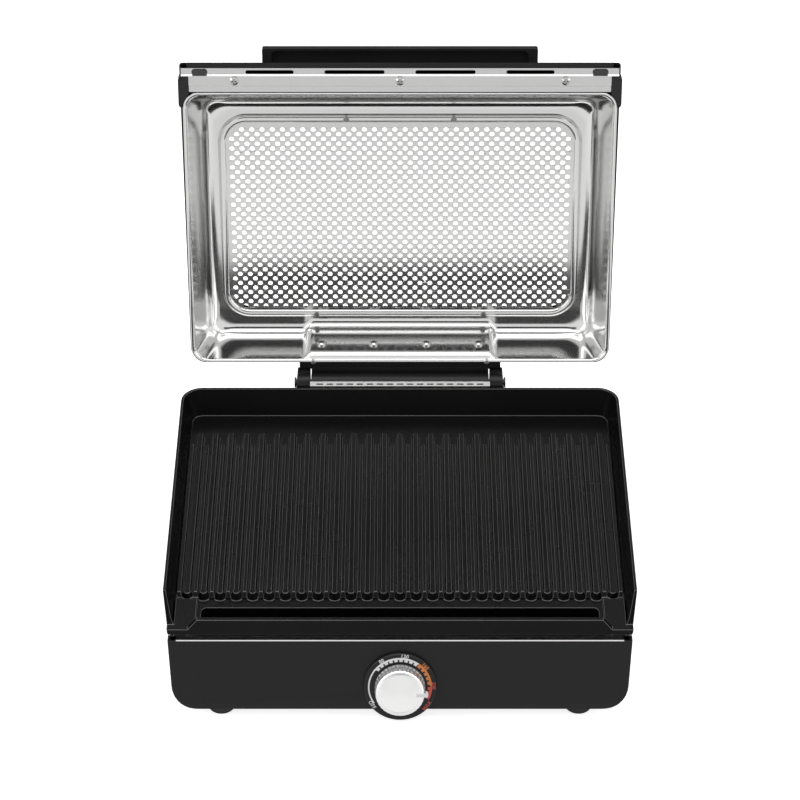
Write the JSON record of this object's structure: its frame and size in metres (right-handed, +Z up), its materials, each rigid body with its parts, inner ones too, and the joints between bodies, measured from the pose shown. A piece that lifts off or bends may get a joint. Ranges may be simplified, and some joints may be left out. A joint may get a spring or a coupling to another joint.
{
  "type": "electric indoor grill",
  "caption": "Electric indoor grill: dark leaning-front base with one dial, lift-out ribbed plate with a grease channel, and a hinged steel-lined lid with a perforated roof.",
  "frame": {"origin": "centre of the open grill's bounding box in X and Y, on the surface the feet stand on", "axes": "+Z up, +X to the right as the cook sees it, +Y from the dial at the front to the hinge at the back"},
  "size_m": [0.417, 0.4882, 0.4202],
  "materials": {
    "housing_black": "satin moulded heat-resistant plastic",
    "cover_black": "matte powder coat",
    "foot_rubber": "matte",
    "screw_steel": "zinc plated",
    "liner_steel": "bright rolled",
    "element_steel": "heat-darkened",
    "ceramic_ivory": "matte ceramic",
    "thermostat_steel": "satin",
    "rod_brass": "satin",
    "wire_red": "satin silicone",
    "dial_black": "satin",
    "hinge_black": "satin",
    "tub_steel": "polished stainless steel",
    "knob_steel": "brushed",
    "pointer_white": "gloss",
    "plate_coating": "satin non-stick coating on cast aluminium",
    "shell_black": "satin paint",
    "trim_black": "fine texture",
    "spring_steel": "bright"
  },
  "bodies": {
    "base": {"housing": "housing_black", "bottom_cover": "cover_black", "feet": "foot_rubber", "foot_screws": "screw_steel", "cover_screws": "screw_steel", "heat_liner": "liner_steel", "liner_screws": "screw_steel", "heating_element": "element_steel", "element_insulators": "ceramic_ivory", "element_clips": "liner_steel", "thermostat": "thermostat_steel", "thermostat_bracket": "liner_steel", "sensing_rod": "rod_brass", "thermal_fuse": "ceramic_ivory", "terminal_block": "ceramic_ivory", "wiring": "wire_red", "cord_gland": "trim_black", "dial_plate": "dial_black", "hinge_stand": "hinge_black", "hinge_pin": "screw_steel"},
    "knob": {"knob_skirt": "knob_steel", "knob_cap": "knob_steel", "knob_pointer": "pointer_white", "thermostat_shaft": "thermostat_steel", "knob_spring": "spring_steel"},
    "plate": {"grill_plate": "plate_coating"},
    "lid": {"lid_tub": "tub_steel", "vent_panel": "tub_steel", "panel_rivets": "tub_steel", "lid_shell": "shell_black", "front_strip": "tub_steel", "strip_screws": "screw_steel", "corner_caps": "trim_black", "bumpers": "foot_rubber", "lid_handle": "trim_black", "handle_screws": "screw_steel", "hinge_bracket": "hinge_black", "bracket_screws": "screw_steel", "bracket_rivets": "screw_steel"}
  },
  "joints": [
    {"name": "lid_hinge", "type": "hinge", "parent": "base", "child": "lid", "pos_m": [0, 0.12865, 0.1025], "axis": [1, 0, 0], "range_deg": [0, 101]},
    {"name": "plate_lift", "type": "slide", "parent": "base", "child": "plate", "axis": [0, 0, 1], "range_m": [0, 0.25]},
    {"name": "knob_turn", "type": "hinge", "parent": "base", "child": "knob", "pos_m": [0, -0.21954, 0.0337], "axis": [0, -0.9455, 0.3256], "range_deg": [-34, 217]}
  ]
}
